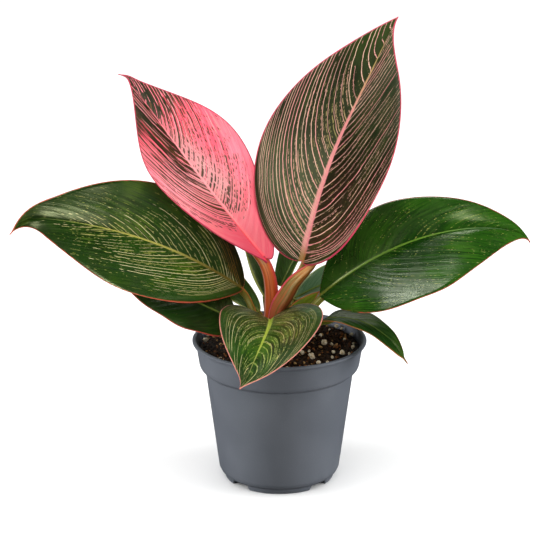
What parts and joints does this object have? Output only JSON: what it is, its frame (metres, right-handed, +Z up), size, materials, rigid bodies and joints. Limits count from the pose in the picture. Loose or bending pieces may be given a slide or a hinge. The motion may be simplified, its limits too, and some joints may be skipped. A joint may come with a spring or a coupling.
{
  "type": "potted philodendron",
  "caption": "Leafy houseplant with broad heart-shaped pinstriped leaves on arching stalks, rooted in potting mix in a tapered plastic nursery pot.",
  "frame": {"origin": "centre of the pot's foot ring, on the plane that its feet stand on", "axes": "+Z up along the pot's axis, front towards -Y, +X to the right seen from the front"},
  "size_m": [0.3569, 0.2181, 0.3126],
  "materials": {
    "pot": "satin",
    "soil": "matte",
    "perlite": "matte",
    "stem": "satin",
    "green_stalk": "satin",
    "pink_stalk": "satin",
    "bract": "satin",
    "pink_leaf": "satin",
    "striped_leaf": "satin",
    "flecked_leaf": "satin",
    "glossy_leaf": "gloss",
    "back_leaf": "satin"
  },
  "bodies": {
    "root": {"back_left_leaf": "back_leaf", "back_left_leaf_stalk": "green_stalk", "back_middle_leaf": "back_leaf", "back_middle_leaf_stalk": "green_stalk", "back_right_leaf": "back_leaf", "back_right_leaf_stalk": "green_stalk", "back_side_leaf": "back_leaf", "back_side_leaf_stalk": "green_stalk", "drooping_leaf": "glossy_leaf", "drooping_leaf_stalk": "green_stalk", "front_leaf": "flecked_leaf", "front_leaf_stalk": "green_stalk", "left_bract": "bract", "left_leaf": "flecked_leaf", "left_leaf_stalk": "green_stalk", "lower_left_leaf": "glossy_leaf", "lower_left_leaf_stalk": "green_stalk", "perlite_01": "perlite", "perlite_02": "perlite", "perlite_03": "perlite", "perlite_04": "perlite", "perlite_05": "perlite", "perlite_06": "perlite", "perlite_07": "perlite", "perlite_08": "perlite", "perlite_09": "perlite", "perlite_10": "perlite", "perlite_11": "perlite", "perlite_12": "perlite", "perlite_13": "perlite", "perlite_14": "perlite", "perlite_15": "perlite", "perlite_16": "perlite", "pink_leaf": "pink_leaf", "pink_leaf_stalk": "pink_stalk", "pot": "pot", "right_bract": "bract", "right_leaf": "glossy_leaf", "right_leaf_stalk": "green_stalk", "soil": "soil", "stem": "stem", "striped_leaf": "striped_leaf", "striped_leaf_sheath": "pink_stalk", "striped_leaf_stalk": "green_stalk"}
  },
  "joints": []
}
